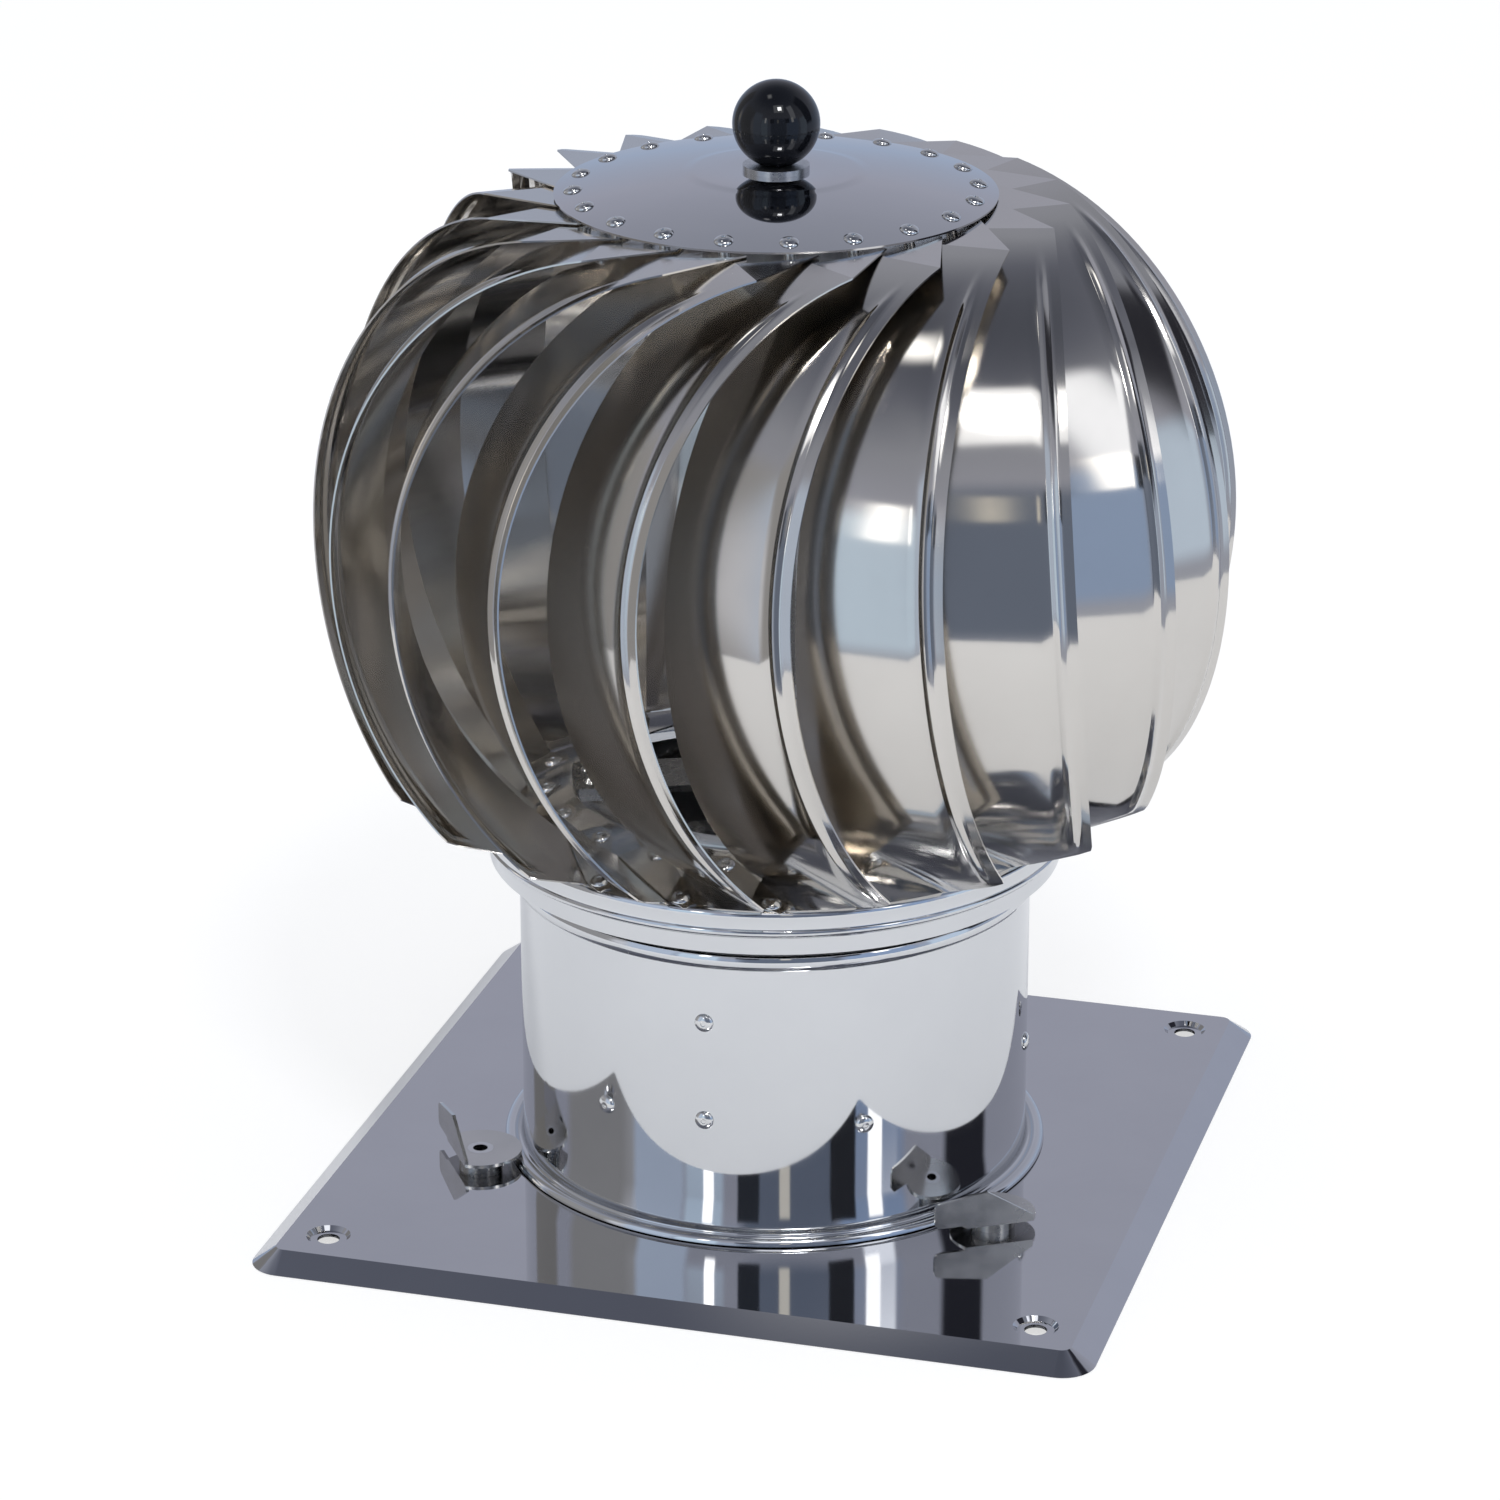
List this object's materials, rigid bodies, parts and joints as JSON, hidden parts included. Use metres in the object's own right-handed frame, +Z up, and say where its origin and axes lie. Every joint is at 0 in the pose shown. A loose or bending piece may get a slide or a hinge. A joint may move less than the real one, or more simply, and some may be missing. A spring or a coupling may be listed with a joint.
{
  "type": "roof turbine ventilator",
  "caption": "Ball of curved sheet-metal vanes that spins on a short duct collar, on a square plate with screw holes and swivel clips, with a ball knob on top.",
  "frame": {"origin": "centre of the base plate's underside, which lies on the roof", "axes": "+Z up the rotor's axis, +X and +Y along the plate's sides, -Y the side with the collar's seam"},
  "size_m": [0.2686, 0.2686, 0.3308],
  "materials": {
    "polished_sheet": "mirror-polished stainless sheet",
    "plain_steel": "plain turned and pressed steel",
    "rivet_steel": "satin blind rivets",
    "cast_alloy": "turned alloy",
    "black_plastic": "glossy black plastic ball"
  },
  "bodies": {
    "base": {"base_plate": "polished_sheet", "duct_collar": "polished_sheet", "seam_rivets": "rivet_steel", "bracket_band": "plain_steel", "bracket_star": "plain_steel", "bracket_rivets": "rivet_steel", "axle": "plain_steel", "axle_nut": "plain_steel", "axle_washer": "plain_steel", "axle_circlip": "plain_steel", "upper_bearing_inner": "plain_steel", "lower_bearing_inner": "plain_steel", "clip_spacers": "plain_steel", "clip_eyelets": "plain_steel"},
    "rotor": {"vane_01": "polished_sheet", "vane_02": "polished_sheet", "vane_03": "polished_sheet", "vane_04": "polished_sheet", "vane_05": "polished_sheet", "vane_06": "polished_sheet", "vane_07": "polished_sheet", "vane_08": "polished_sheet", "vane_09": "polished_sheet", "vane_10": "polished_sheet", "vane_11": "polished_sheet", "vane_12": "polished_sheet", "vane_13": "polished_sheet", "vane_14": "polished_sheet", "vane_15": "polished_sheet", "vane_16": "polished_sheet", "vane_17": "polished_sheet", "vane_18": "polished_sheet", "vane_19": "polished_sheet", "vane_20": "polished_sheet", "top_disc": "polished_sheet", "disc_rivets": "rivet_steel", "bottom_ring": "polished_sheet", "inner_foot_rivets": "rivet_steel", "outer_foot_rivets": "rivet_steel", "spider_bar": "plain_steel", "bar_rivets": "rivet_steel", "lower_hub": "cast_alloy", "hub_rivets": "rivet_steel", "upper_hub": "cast_alloy", "upper_bearing_outer": "plain_steel", "lower_bearing_outer": "plain_steel", "knob": "black_plastic", "knob_stud": "plain_steel", "knob_washer": "plain_steel"},
    "clip_left": {"clip_left": "polished_sheet"},
    "clip_right": {"clip_right": "polished_sheet"},
    "clip_back": {"clip_back": "polished_sheet"}
  },
  "joints": [
    {"name": "rotor_spin", "type": "hinge", "parent": "base", "child": "rotor", "pos_m": [0, 0, 0.2], "axis": [0, 0, 1], "continuous": true},
    {"name": "clip_left_swivel", "type": "hinge", "parent": "base", "child": "clip_left", "pos_m": [-0.07881, -0.0455, 0.0085], "axis": [0, 0, 1], "range_deg": [-49, 176]},
    {"name": "clip_right_swivel", "type": "hinge", "parent": "base", "child": "clip_right", "pos_m": [0.07881, -0.0455, 0.0085], "axis": [0, 0, 1], "range_deg": [-16, 209]},
    {"name": "clip_back_swivel", "type": "hinge", "parent": "base", "child": "clip_back", "pos_m": [0, 0.091, 0.0085], "axis": [0, 0, 1], "range_deg": [-45, 180]}
  ]
}
